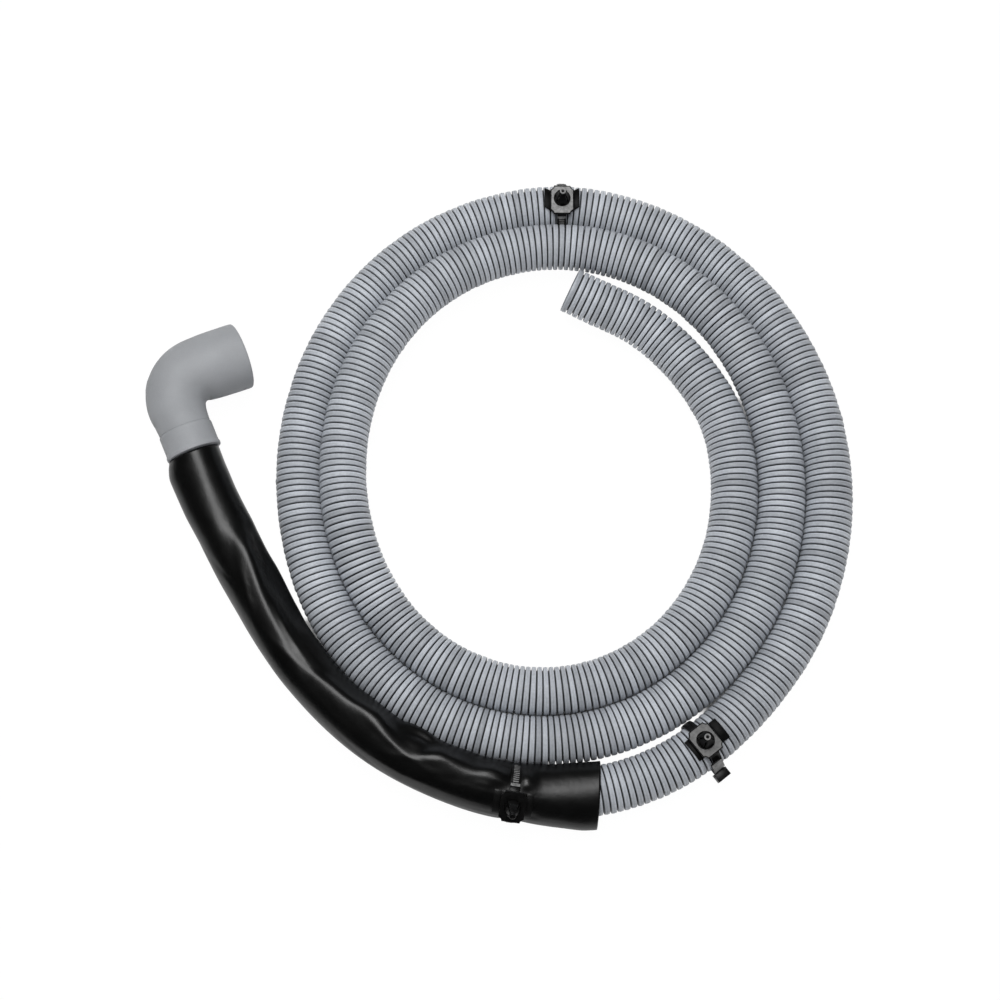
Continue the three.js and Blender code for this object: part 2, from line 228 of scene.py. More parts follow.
def on_line(distances):
    """Places on the hose's line, with its axes there: ahead, to its left and up."""
    nudge = 1.5
    behind, places, before = (
        np.stack([np.interp(at, line_along, axis) for axis in line.T], 1) for at in (
            np.maximum(distances - nudge, 0), distances, np.minimum(distances + nudge, HOSE_LENGTH)))
    ahead = before - behind
    ahead /= np.linalg.norm(ahead, axis=1)[:, None]
    left = np.cross((0.0, 0.0, 1.0), ahead)
    left /= np.linalg.norm(left, axis=1)[:, None]
    return places, ahead, left, np.cross(ahead, left)


def nearest_to(points, others, block=2000):
    """How far each point is from the nearest of the others, and which one that is."""
    found = []
    for start in range(0, len(points), block):
        lengths = np.linalg.norm(points[start:start + block, None] - others[None], axis=2)
        found.append((lengths.min(1), lengths.argmin(1)))
    return [np.concatenate(part) for part in zip(*found)]


def mesh_piece(name, points, faces):
    """A mesh object from points of the drawing, in millimetres."""
    mesh = bpy.data.meshes.new(name)
    places = (np.asarray(points) + np.array(ORIGIN)) * MM
    mesh.from_pydata(places.tolist(), [], faces)
    mesh.update()
    piece = bpy.data.objects.new(name, mesh)
    bpy.context.scene.collection.objects.link(piece)
    mesh.shade_smooth()
    return piece


def tube_faces(rows, sides, closed):
    """Faces between rings of points, and back to the first ring if the tube is closed."""
    return [
        (row * sides + side, row * sides + (side + 1) % sides,
         (row + 1) % rows * sides + (side + 1) % sides, (row + 1) % rows * sides + side)
        for row in range(rows if closed else rows - 1) for side in range(sides)
    ]


def make_hose():
    """One closed skin: out over the ribs, in over the cut ends and back along the bore."""
    ribs = round(HOSE_LENGTH / RIB_PITCH)
    pitch = HOSE_LENGTH / ribs
    chance = np.random.RandomState(7)
    wander = np.cumsum(chance.normal(0, RIB_WANDER, ribs))
    wander -= np.linspace(0, wander[-1], ribs)
    wander = np.clip(wander, -RIB_WANDER_MOST, RIB_WANDER_MOST)
    tones = chance.normal(0, 1, ribs)
    girths = chance.normal(0, RIB_GIRTH, ribs)
    distances, radii, crest, tone = [], [], [], []
    for rib in range(ribs):
        for share, depth, height in RIB_PROFILE:
            distances.append((rib + share) * pitch + wander[rib])
            radii.append(RIB_RADIUS - depth + (girths[rib] if height > 0 else 0))
            crest.append(height)
            tone.append(tones[rib])
    # The cut ends fall on a crest
    distances, radii, crest, tone = (values[1:-1] for values in (distances, radii, crest, tone))
    outer_rings = len(distances)
    inner = list(np.linspace(HOSE_LENGTH, 0, ribs // BORE_STEP))
    distances[0], distances[-1] = 0.0, HOSE_LENGTH
    distances += inner
    radii += [BORE_RADIUS] * len(inner)
    # Its place on the crest's scale gives the bore part of the grooves' painted shade
    crest += [BORE_SHADE_LEVEL] * len(inner)
    tone += [0.0] * len(inner)
    places, _, left, above = on_line(np.array(distances))
    angle = 2 * np.pi * np.arange(HOSE_SIDES) / HOSE_SIDES
    spokes = np.cos(angle)[None, :, None] * left[:, None] + np.sin(angle)[None, :, None] * above[:, None]
    points = places[:, None] + spokes * np.array(radii)[:, None, None]
    rows, sides = len(distances), HOSE_SIDES
    piece = mesh_piece("drain_hose", points.reshape(-1, 3), tube_faces(rows, sides, True))
    u, v = np.array(distances) / UV_STEP, np.arange(sides + 1) / sides
    marks = np.empty((rows, sides, 4, 2), np.float32)
    marks[..., 0] = np.stack([u, u, np.roll(u, -1), np.roll(u, -1)], 1)[:, None]
    marks[..., 1] = np.stack([v[:-1], v[1:], v[1:], v[:-1]], 1)
    layer = piece.data.uv_layers.new(name="along")
    layer.data.foreach_set("uv", marks.ravel())
    for name, values in (("crest", crest), ("tone", tone)):
        attribute = piece.data.attributes.new(name, "FLOAT", "POINT")
        attribute.data.foreach_set("value", np.repeat(np.array(values, np.float32), sides))
    # The two cut ends stay crisp
    sharp = piece.data.attributes.new("sharp_edge", "BOOLEAN", "EDGE")
    ends = np.zeros(len(piece.data.edges) * 2, int)
    piece.data.edges.foreach_get("vertices", ends)
    start, end = ends.reshape(-1, 2).T // sides
    crisp = np.isin(start, (0, outer_rings - 1, outer_rings, rows - 1))
    sharp.data.foreach_set("value", crisp & (start == end))
    return piece


hose = make_hose()


# Materials: a noise's usual reach is stretched to a range of greys or of roughness

NOISE_LOW, NOISE_HIGH = 0.3, 0.7


def shader(name):
    """A new material with its node tree, its main shader and the object's own coordinates."""
    made = bpy.data.materials.new(name)
    made.use_nodes = True
    tree = made.node_tree
    place = add_node(tree, "TexCoord").outputs["Object"]
    return made, tree, tree.nodes["Principled BSDF"], place


def add_node(tree, kind, settings=(), inputs=()):
    made = tree.nodes.new("ShaderNode" + kind)
    for key, value in dict(settings).items():
        setattr(made, key, value)
    for key, value in dict(inputs).items():
        made.inputs[key].default_value = value
    return made


def wire(tree, start, end):
    tree.links.new(start, end)


def attribute_node(tree, name):
    return add_node(tree, "Attribute", {"attribute_name": name}).outputs["Fac"]


def noise_node(tree, vector, scale, detail, roughness=0.5):
    settings = {"Scale": scale, "Detail": detail, "Roughness": roughness}
    made = add_node(tree, "TexNoise", (), settings)
    wire(tree, vector, made.inputs["Vector"])
    return made.outputs["Fac"]


def ramp_node(tree, factor, stops):
    made = add_node(tree, "ValToRGB")
    ends = made.color_ramp.elements
    for element, (place, colour) in ((ends[0], stops[0]), (ends[1], stops[-1])):
        element.position, element.color = place, colour
    for place, colour in stops[1:-1]:
        ends.new(place).color = colour
    wire(tree, factor, made.inputs["Fac"])
    return made.outputs["Color"]


def mix_node(tree, factor, first, second, blend="MIX"):
    """Mixes two colours; each may be a socket or a value."""
    made = add_node(tree, "Mix", {"data_type": "RGBA", "blend_type": blend})
    for socket, value in (("Factor", factor), ("A", first), ("B", second)):
        found = [i for i in made.inputs if i.name == socket and i.enabled][0]
        if isinstance(value, bpy.types.NodeSocket):
            wire(tree, value, found)
        else:
            found.default_value = value
    return [o for o in made.outputs if o.enabled][0]


def map_node(tree, value, low, high, new_low, new_high):
    made = add_node(tree, "MapRange", (), {1: low, 2: high, 3: new_low, 4: new_high})
    wire(tree, value, made.inputs[0])
    return made.outputs[0]


def bump_node(tree, height, strength, distance, normal=None):
    made = add_node(tree, "Bump", (), {"Strength": strength, "Distance": distance})
    wire(tree, height, made.inputs["Height"])
    if normal:
        wire(tree, normal, made.inputs["Normal"])
    return made.outputs["Normal"]


NEUTRAL = (1.0, 1.0, 1.0)


def grey(level, tint=NEUTRAL):
    return (*(level * part for part in tint), 1.0)


def noise_greys(tree, place, noise, dark, light, tint=NEUTRAL, low=NOISE_LOW, high=NOISE_HIGH):
    stops = ((low, grey(dark, tint)), (high, grey(light, tint)))
    return ramp_node(tree, noise_node(tree, place, *noise), stops)


def stretch_noise(tree, place, noise, least, most):
    return map_node(tree, noise_node(tree, place, *noise), NOISE_LOW, NOISE_HIGH, least, most)


def finish_surface(look, colour, sheen, grain, under=None):
    """Sheen is a noise with its range of roughness, grain one with its bump's strength and distance."""
    made, tree, principled, place = look
    rough = stretch_noise(tree, place, *sheen)
    bump = bump_node(tree, noise_node(tree, place, *grain[0]), *grain[1:], under)
    for name, value in (("Base Color", colour), ("Roughness", rough), ("Normal", bump)):
        wire(tree, value, principled.inputs[name])
    return made


HOSE_TINT = (0.945, 1.0, 1.085)
RUBBER_TINT = (0.97, 1.0, 1.05)
# Two painted highlight lines on each rib, with painted shade towards the grooves, by how far up the rib
# they are
PAINTED_HIGHLIGHT_LINES = ((0.3, 0.6), (0.44, 1.0), (0.6, 1.0), (0.8, 0.76), (1.0, 0.8))
RIB_TONES = ((0.0, 0.44), (0.5, 0.59), (1.0, 0.70))
# Between these heights on the rib the painted shade in the grooves gives way to the rib's own grey
GROOVE_TOP, RIB_FOOT, GROOVE_SHADE, GROOVE_PAINTED_SHADE = 0.07, 0.29, 0.985, 0.008


def corrugated_grey():
    """Two painted highlight lines on each rib, painted shade between the ribs and partly in the bore,
    each rib its own tone.
    """
    _, tree, _, place = look = shader("corrugated_grey")
    tone, crest = attribute_node(tree, "tone"), attribute_node(tree, "crest")
    along = add_node(tree, "UVMap", {"uv_map": "along"}).outputs["UV"]
    ribwise = map_node(tree, tone, -2.2, 2.2, 0.0, 1.0)
    base = ramp_node(tree, ribwise, [(spot, grey(level, HOSE_TINT)) for spot, level in RIB_TONES])
    drift = map_node(tree, noise_node(tree, along, 2.3, 3.0), 0.35, 0.65, 0.93, 1.05)
    # Painted highlights: two pale lines on each rib, darker towards the grooves
    lines = ramp_node(tree, crest, [(height, grey(level)) for height, level in PAINTED_HIGHLIGHT_LINES])
    scuff = stretch_noise(tree, place, (700.0, 3.0, 0.65), 0.88, 1.08)
    for layer in (drift, lines, scuff):
        base = mix_node(tree, 1.0, base, layer, "MULTIPLY")
    # Painted shade: the grooves, and partly the bore, mixed towards near black
    groove_painted_shade = map_node(tree, crest, GROOVE_TOP, RIB_FOOT, GROOVE_SHADE, 0.0)
    colour = mix_node(tree, groove_painted_shade, base, grey(GROOVE_PAINTED_SHADE, HOSE_TINT))
    return finish_surface(look, colour, ((260.0, 3.0), 0.36, 0.5), ((2600.0, 2.0, 0.6), 0.25, 0.0001))


def rubber_grey():
    _, tree, _, place = look = shader("rubber_grey")
    base = noise_greys(tree, place, (45.0, 4.0, 0.55), 0.325, 0.37, RUBBER_TINT)
    fine = stretch_noise(tree, place, (1500.0, 2.0, 0.7), 0.97, 1.03)
    colour = mix_node(tree, 1.0, base, fine, "MULTIPLY")
    return finish_surface(look, colour, ((120.0, 3.0), 0.54, 0.66), ((1900.0, 3.0, 0.6), 0.3, 0.00012))


def film_black():
    _, tree, _, place = look = shader("film_black")
    colour = noise_greys(tree, place, (60.0, 3.0), 0.0012, 0.0025)
    ripple = bump_node(tree, noise_node(tree, place, 140.0, 3.0, 0.55), 0.18, 0.0008)
    return finish_surface(
        look, colour, ((90.0, 4.0, 0.6), 0.29, 0.36), ((2400.0, 2.0), 0.12, 0.00006), ripple)


def nylon(name, greys, sheen, gloss):
    """Moulded nylon; gloss is its specular level."""
    _, tree, principled, place = look = shader(name)
    principled.inputs["Specular IOR Level"].default_value = gloss
    return finish_surface(look, noise_greys(tree, place, *greys), sheen, ((2200.0, 2.0), 0.25, 0.00008))


# Black nylon painted grey, as a painted reflection of the light on it
def reflection_painted_nylon(name, dark, light):
    greys = ((330.0, 4.0, 0.7), dark, light, NEUTRAL, 0.32, 0.68)
    return nylon(name, greys, ((600.0, 3.0), 0.34, 0.46), 0.5)


def dress(piece, material):
    piece.data.materials.clear()
    piece.data.materials.append(material)


hose_grey = corrugated_grey()
elbow_grey = rubber_grey()
sleeve_black = film_black()
tie_black = nylon("nylon_black", ((300.0, 3.0), 0.003, 0.006), ((500.0, 3.0), 0.3, 0.42), 0.25)
plate_black = nylon("moulded_black", ((350.0, 3.0), 0.002, 0.004), ((500.0, 3.0), 0.42, 0.55), 0.12)
# Painted reflections on black nylon: the upper plate's top and the ties' guide face and teeth tops, a
# dimmer copy for the lower plate, which catches less of the light, and a painted highlight on the pins'
# tips
plate_reflection_grey = reflection_painted_nylon("plate_painted_reflection", 0.10, 0.30)
plate_reflection_dim = reflection_painted_nylon("plate_painted_reflection_dim", 0.055, 0.14)
tip_highlight_grey = reflection_painted_nylon("tip_painted_highlight", 0.20, 0.34)

dress(hose, hose_grey)
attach(hose, "root")
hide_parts("hose", "hose_free_end")


# Sleeve: thin film, loose over the hose, gathered by its tie

FILM_RADIUS = 14.3
FILM_WALL = 0.4
FILM_SIDES = 144
# The tie's place on the film, and the points of the route where the film begins and ends
SLEEVE_TIE, SLEEVE_FIRST, SLEEVE_LAST = 11, 1, 13
TIE_AT = route_along[SLEEVE_TIE] - route_along[SLEEVE_FIRST]
# How far the film's edges lie from the hose's line: distance from the collar, coil side, outer side
FILM_EDGES = (
    (0, 14.4, 15.0), (3, 14.5, 17.0), (10, 14.6, 18.9), (18, 15.2, 18.3), (26, 15.7, 17.6),
    (34, 16.5, 16.9), (42, 17.4, 15.8), (50, 18.2, 14.8), (62, 18.6, 14.4), (74, 18.6, 14.5),
    (82, 18.9, 14.5), (90, 18.5, 14.5), (98, 17.8, 14.5), (106, 17.2, 14.6), (122, 16.9, 14.5),
    (140, 16.8, 14.5), (158, 14.8, 14.4), (176, 15.6, 14.4), (183, 16.9, 14.4), (198, 16.9, 14.5),
    (208, 16.2, 14.5), (216, 19.2, 14.5), (224, 20.2, 14.5), (233, 17.0, 14.5), (240, 16.6, 14.5),
    (252, 17.8, 14.5), (262, 16.8, 14.7), (270, 17.4, 14.8), (276, 18.2, 15.0), (290, 17.8, 15.2),
    (298, 17.2, 16.3), (306, 16.8, 17.5), (314, 17.4, 18.9), (322, 16.9, 20.3), (333, 15.6, 21.0),
)
# The fold along the film's top: distance from the collar, and its angle above the coil side
FILM_RIDGE = (
    (0, 83), (14.5, 79), (29, 69), (43, 59), (55.5, 52), (64, 42), (71.5, 43), (83, 55), (96, 69),
    (111, 75), (122.5, 79), (130.5, 88), (139, 95), (147.5, 91), (155.5, 77), (165, 68), (178.5, 63),
    (189.5, 50), (196, 46), (204, 58), (210.5, 73), (218.5, 85), (226, 86), (232, 66), (236.5, 50),
    (243, 53), (251.5, 61), (260, 62), (267.5, 49), (278, 56), (286.5, 51), (300, 63), (314, 71),
    (333, 83),
)
RIDGE_REACH, RIDGE_HEIGHT, RIDGE_SLOPE, RIDGE_SOFTNESS = 14.5, 15.0, 0.22, 2.5
# The film is folded between these distances, and an open round tube beyond them
FOLDED_FROM, FOLDED_RISE, FOLDED_TO, FOLDED_FADE = 46, 26, 298, 10
# From here on the coil's outer turn holds the film's edge up
SHOULDER_FROM, SHOULDER_RISE, SHOULDER_HEIGHT = 105, 25, 6.0
SAG, CROWN, FOLD_SOFTNESS = 1.3, 0.7, 3.5
# Single marks: height, and what mound() takes
FILM_MARKS = ((1.1, 60, 5, 40, 12), (-3.6, 224, 6, 44, 17), (0.8, 236, 3, 30, 14))
# Creases: how many, and the reach of their start, length, angle, lean, width and height
CREASES = 16
CREASE_REACH = ((60, 262), (14, 34), (20, 180), (-1.6, 1.6), (5, 9), (-0.4, 0.5))
# The tie's pull on either side; the coil side stays slack: share, angle and reach
PULL_BEFORE, PULL_PAST = 7.5, 5.0
SLACK, SLACK_ANGLE, SLACK_REACH = 0.85, 12, 24
PLEATS, PLEAT_REACH, PLEAT_BEFORE, PLEAT_PAST = 13, 17, 0.5, 0.2
# Where the push mount sits flat: half length and half width, each with its fade
SEAT_ANGLE, SEAT_LENGTH, SEAT_LENGTH_FADE, SEAT_WIDTH, SEAT_WIDTH_FADE = 117, 15, 5, 38, 10
SLEEVE_END_SKEW, SKEW_REACH = 0.24, 20
# The coil's stretch that the film is kept out of and how far, and its least height
BESIDE_FROM, BESIDE_LENGTH, BESIDE_GAP = 14, 1050, 14.05
FILM_LOWEST = 0.1


def gauss_weights(spread):
    reach = int(3 * spread) + 1
    weights = np.exp(-0.5 * (np.arange(-reach, reach + 1) / spread) ** 2)
    return reach, weights / weights.sum()


def smooth_rows(values, spread):
    """Softens a table down its rows, its ends held."""
    reach, weights = gauss_weights(spread)
    padded = np.concatenate([np.repeat(values[:1], reach, 0), values, np.repeat(values[-1:], reach, 0)])
    return sum(w * padded[k:k + len(values)] for k, w in enumerate(weights))


def smooth_round(values, spread):
    """Softens each ring of a table, which closes on itself."""
    reach, weights = gauss_weights(spread)
    return sum(w * np.roll(values, k, 1) for k, w in zip(range(-reach, reach + 1), weights))


def rise(value, start, span):
    """From 0 at the start to 1 one span further on; back, where the span is negative."""
    return np.clip((value - start) / span, 0, 1)


def swell(value, width):
    return np.exp(-(value / width) ** 2)


def across_line(start, end, ray):
    """How far out along a ray from the middle the straight line from start to end is met."""
    run = end - start
    meet = ray[..., 0] * run[..., 1] - ray[..., 1] * run[..., 0]
    top = start[..., 0] * run[..., 1] - start[..., 1] * run[..., 0]
    return top / np.where(np.abs(meet) < 1e-6, 1e-6, meet)


def read_off(table, along, column):
    place, *values = np.array(table).T
    return np.interp(along, place, values[column])[:, None]


def folded_film(along, turned):
    """The film's main form: an oval tube that is drawn up into one long fold on its top."""
    coil_side, outer = read_off(FILM_EDGES, along, 0), read_off(FILM_EDGES, along, 1)
    fold_at = RIDGE_REACH * np.cos(np.radians(read_off(FILM_RIDGE, along, 0)))
    fold_at = smooth_rows(fold_at, RIDGE_SOFTNESS)
    fold_high = RIDGE_HEIGHT + RIDGE_SLOPE * np.abs(fold_at)
    fold_angle = np.arctan2(fold_high, fold_at)
    ray = np.stack([np.cos(turned), np.sin(turned)], -1)
    reach = np.where(ray[..., 0] > 0, coil_side, outer)
    oval = FILM_RADIUS * reach / np.hypot(FILM_RADIUS * ray[..., 0], reach * ray[..., 1])
    shoulder = rise(along, SHOULDER_FROM, SHOULDER_RISE)[:, None]
    held = soften(shoulder)
    # From the coil side's edge up to the fold, sagging a little between them
    edge = np.stack([coil_side, SHOULDER_HEIGHT * shoulder], -1)
    edge_angle = np.arctan2(edge[..., 1], edge[..., 0])
    steep = across_line(edge, np.stack([fold_at, fold_high], -1), ray)
    share = np.clip((turned - edge_angle) / (fold_angle - edge_angle), 0, 1)
    sag = SAG * np.sin(np.pi * share) * np.clip((fold_at - 2) / 6, 0.25, 1)
    inward = (turned > edge_angle) & (turned <= fold_angle)
    radii = np.where(inward, np.maximum(steep - sag, FILM_RADIUS), oval)
    # Below that edge it goes in under the coil's outer turn and stays close to the hose
    gap_point = np.stack([np.full_like(coil_side, FILM_RADIUS + 0.5), np.zeros_like(coil_side)], -1)
    tuck = across_line(gap_point, edge, ray)
    radii = np.where(turned <= edge_angle, radii + (tuck - radii) * held, radii)
    close = FILM_RADIUS + 0.5 * np.abs(np.cos(turned)) ** 3
    radii = np.where(turned > 1.5 * np.pi, radii + (close - radii) * held, radii)
    # The taut flank on the outer side of the fold, down to where it meets the hose
    meet = fold_angle + np.arccos(np.clip(FILM_RADIUS / np.hypot(fold_high, fold_at), -1, 1))
    flank = (turned > fold_angle) & (turned < meet)
    radii = np.where(flank, FILM_RADIUS / np.cos(np.clip(turned - meet, -1.4, 1.4)), radii)
    crown = CROWN * np.sin(np.pi * np.clip((turned - fold_angle) / 1.5, 0, 1))
    radii = radii + np.where(turned > fold_angle, crown, 0)
    folded = soften(rise(along, FOLDED_FROM, FOLDED_RISE) * rise(along, FOLDED_TO, -FOLDED_FADE))[:, None]
    return oval + (smooth_round(radii, FOLD_SOFTNESS) - oval) * folded


def mound(away, across, place, length, angle, width):
    """A soft rise on the film, by its place and reach along it and its angle and reach round it."""
    return np.exp(-((away - place) / length) ** 2 - ((across - angle) / width) ** 2)


def film_creases(away, across):
    chance = np.random.RandomState(21)
    creases = np.zeros(np.broadcast(away, across).shape)
    for _ in range(CREASES):
        start, length, at, lean, width, height = (chance.uniform(*reach) for reach in CREASE_REACH)
        creases += height * mound(away, across, start, length, at + lean * (away - start), width)
    return creases


def gather_film(radii, from_tie, turned, across):
    """Gathered at the tie, with pleats on both sides of it and flat under the push mount."""
    before = from_tie < 0
    pull = swell(from_tie, np.where(before, PULL_BEFORE, PULL_PAST))
    pull = pull * (1 - SLACK * swell(across - SLACK_ANGLE, SLACK_REACH))
    radii = FILM_RADIUS + 0.2 + (radii - FILM_RADIUS - 0.2) * (1 - pull)
    pleat = swell(from_tie, PLEAT_REACH) * (1 - swell(from_tie, 5))
    pleat = np.where(before, PLEAT_BEFORE, PLEAT_PAST) * pleat
    uneven = 0.6 + 0.4 * np.sin(5 * turned)
    radii = radii + pleat * (np.sin(PLEATS * turned + 0.5) ** 2 - 0.3) * uneven
    seated = rise(np.abs(from_tie), SEAT_LENGTH, -SEAT_LENGTH_FADE)
    seated = seated * rise(np.abs(across - SEAT_ANGLE), SEAT_WIDTH, -SEAT_WIDTH_FADE)
    return radii + (np.minimum(radii, FILM_RADIUS + 0.35) - radii) * seated


def film_radii(along, angle):
    """The film's distance from the hose's line, by distance from the collar and angle."""
    turned = angle[None, :] * np.ones((len(along), 1))
    across, away = turned * 180 / np.pi, along[:, None]
    radii = folded_film(along, turned)
    for height, *spot in FILM_MARKS:
        radii += height * mound(away, across, *spot)
    radii += film_creases(away, across)
    radii = gather_film(np.maximum(radii, FILM_RADIUS), away - TIE_AT, turned, across)
    return np.maximum(smooth_rows(smooth_round(radii, 1.2), 1.5), FILM_RADIUS)


def make_sleeve():
    collar = route_along[SLEEVE_FIRST]
    first, last = collar + 0.5, route_along[SLEEVE_LAST] - 1.0
    # A ring for each millimetre
    rows = int(last - first) + 1
    distances = np.linspace(first, last, rows)
    places, ahead, left, above = on_line(distances)
    angle = 2 * np.pi * np.arange(FILM_SIDES) / FILM_SIDES
    radii = film_radii(distances - collar, angle)
    sideways, upwards = radii * np.cos(angle), radii * np.sin(angle)
    skew = SLEEVE_END_SKEW * rise(distances, last - SKEW_REACH, SKEW_REACH)[:, None] * sideways
    points = (places[:, None] + left[:, None] * sideways[..., None]
              + above[:, None] * upwards[..., None] + ahead[:, None] * skew[..., None])
    # Kept out of the coil's outer turn, and off the floor
    start = route_along[BESIDE_FROM]
    beside = line[(line_along > start) & (line_along < start + BESIDE_LENGTH)][::4]
    flat = points.reshape(-1, 3)
    close, nearest = nearest_to(flat, beside)
    push = np.maximum(BESIDE_GAP - close, 0) / np.maximum(close, 1)
    flat += (flat - beside[nearest]) * push[:, None]
    flat[:, 2] = np.maximum(flat[:, 2], FILM_LOWEST)
    return mesh_piece("film_sleeve", flat, tube_faces(rows, FILM_SIDES, False))


def apply_modifier(piece, kind, **settings):
    made = piece.modifiers.new(kind.lower(), kind)
    for key, value in settings.items():
        setattr(made, key, value)
    bpy.context.view_layer.objects.active = piece
    bpy.ops.object.modifier_apply(modifier=made.name)


sleeve = make_sleeve()
apply_modifier(sleeve, "SOLIDIFY", thickness=FILM_WALL * MM, offset=-1)
dress(sleeve, sleeve_black)
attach(sleeve, "root")
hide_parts("sleeve")


# Rigid pieces: rings and sections added one after another and bridged, then bevelled or subdivided

def start_piece(name):
    """A new empty piece in edit mode."""
    bpy.ops.mesh.primitive_plane_add(size=MM)
    piece = bpy.context.object
    piece.name = name
    bpy.ops.object.mode_set(mode="EDIT")
    bpy.ops.mesh.select_all(action="SELECT")
    bpy.ops.mesh.delete(type="VERT")
    return piece


def size_up(place, turn, size):
    """Gives what was just added its size, along its own directions."""
    bpy.ops.transform.resize(
        value=size, orient_type="GLOBAL", orient_matrix=turn.to_matrix(), orient_matrix_type="GLOBAL",
        constraint_axis=(True, True, True), center_override=place)


def add_section(centre, across, upwards, widths, sides):
    """Adds a section to the piece being edited, in the plane of its two directions."""
    place = Vector(centre) * MM
    turn = Matrix((across, upwards, across.cross(upwards))).transposed().to_euler()
    bpy.ops.mesh.select_all(action="DESELECT")
    if sides == 4:
        bpy.ops.mesh.primitive_plane_add(size=2, location=place, rotation=turn)
    else:
        bpy.ops.mesh.primitive_circle_add(vertices=sides, radius=1, location=place, rotation=turn)
    size_up(place, turn, (widths[0] * MM, widths[1] * MM, 1))
    if sides == 4:
        bpy.ops.mesh.delete(type="ONLY_FACE")


def pick_sections(piece, sides, offset, picks):
    bpy.ops.mesh.select_all(action="DESELECT")
    mesh = bmesh.from_edit_mesh(piece.data)
    mesh.verts.ensure_lookup_table()
    for pick in picks:
        for vertex in range(offset + pick * sides, offset + (pick + 1) * sides):
            mesh.verts[vertex].select = True
    mesh.select_flush(True)
    bmesh.update_edit_mesh(piece.data)


def loft(piece, sections, sides, closed):
    """Skins sections into the piece being edited: (centre, across, upwards, half widths) each."""
    offset = len(bmesh.from_edit_mesh(piece.data).verts)
    for section in sections:
        add_section(*section, sides)
    pairs = [(k, k + 1) for k in range(len(sections) - 1)]
    if closed:
        pairs.append((len(sections) - 1, 0))
    for pair in pairs:
        pick_sections(piece, sides, offset, pair)
        bpy.ops.mesh.bridge_edge_loops()
    if not closed:
        for end in (0, len(sections) - 1):
            pick_sections(piece, sides, offset, (end,))
            bpy.ops.mesh.edge_face_add()


def add_bar(centre, size, turn=0.0):
    """A bar in the piece being edited; turned about the hose's own direction, X."""
    place, turned = Vector(centre) * MM, Euler((turn, 0, 0))
    bpy.ops.mesh.select_all(action="DESELECT")
    bpy.ops.mesh.primitive_cube_add(size=1, location=place, rotation=turned)
    size_up(place, turned, [side * MM for side in size])


BEVEL_ANGLE, BEVEL_SEGMENTS, SMOOTH_ANGLE = 40, 2, 35


def close_piece(piece, bevel=0.0):
    """Leaves edit mode with every face outwards, then rounds the edges a little."""
    bpy.ops.mesh.select_all(action="SELECT")
    bpy.ops.mesh.normals_make_consistent(inside=False)
    bpy.ops.object.mode_set(mode="OBJECT")
    if bevel:
        apply_modifier(piece, "BEVEL", width=bevel * MM, segments=BEVEL_SEGMENTS, limit_method="ANGLE",
                       angle_limit=math.radians(BEVEL_ANGLE))
    bpy.ops.object.shade_smooth_by_angle(angle=math.radians(SMOOTH_ANGLE))


# Elbow

OUTLET_ARM, MOUTH_ARM = 46.5, 47.3
MOUTH_RADIUS, MOUTH_BORE = 20.0, 17.0
BEND_MOUTH, BEND_NECK = 19.2, 16.6
PIVOT = BEND_MOUTH + 2
COLLAR_RADIUS = HOSE_RADIUS + 0.3 + 1.95
COLLAR_BORE = HOSE_RADIUS + CLEARANCE
COLLAR_LENGTH, ELBOW_WALL, ELBOW_SIDES = 15.2, 4.5, 36
# Rings of the mouth's outside and bore: distance back from its rim, and how much wider
MOUTH_OUTSIDE = ((0, -1.1), (0.15, -0.45), (0.7, 0), (4, 0), (14, -0.1), (21, -0.3))
MOUTH_INSIDE = ((22.3, -2.2), (22, -1), (21.4, 0), (4, 0), (0.6, 0), (0.1, 0.5))
# Rings of the collar's step and its lip, from where each begins, the same way
COLLAR_STEP = ((1.5, -0.4), (0.4, -0.4), (0.2, -0.65), (-0.1, -0.65), (-0.3, 0), (-0.7, 0.05))
COLLAR_LIP = ((6, 0), (2.9, 0), (2.4, 0.45), (1.9, 0.5), (0.5, 0.5), (0, 0.05))

mouth_guess = heading(25, 13)
mouth_axis = (mouth_guess - mouth_guess.dot(OUTLET) * OUTLET).normalized()
corner = COLLAR_END - OUTLET_ARM * OUTLET
flat_side = OUTLET.cross(mouth_axis)


def elbow_place(along_mouth, along_outlet):
    return corner + along_mouth * mouth_axis + along_outlet * OUTLET + ORIGIN


def mouth_ring(reach, radius):
    return elbow_place(reach, 0), OUTLET, flat_side, (radius, radius)


def outlet_ring(reach, radius):
    return elbow_place(0, reach), mouth_axis, flat_side, (radius, radius)


def bend_ring(share, inset):
    angle = share * math.pi / 2
    nominal = BEND_MOUTH + (BEND_NECK - BEND_MOUTH) * share
    near = PIVOT - nominal
    far = PIVOT + nominal + 0.8 * math.sin(2 * angle)
    towards = math.cos(angle) * OUTLET + math.sin(angle) * mouth_axis
    centre = elbow_place(PIVOT, PIVOT) - (near + far) / 2 * towards
    return centre, towards, flat_side, ((far - near) / 2 - inset, nominal - inset)


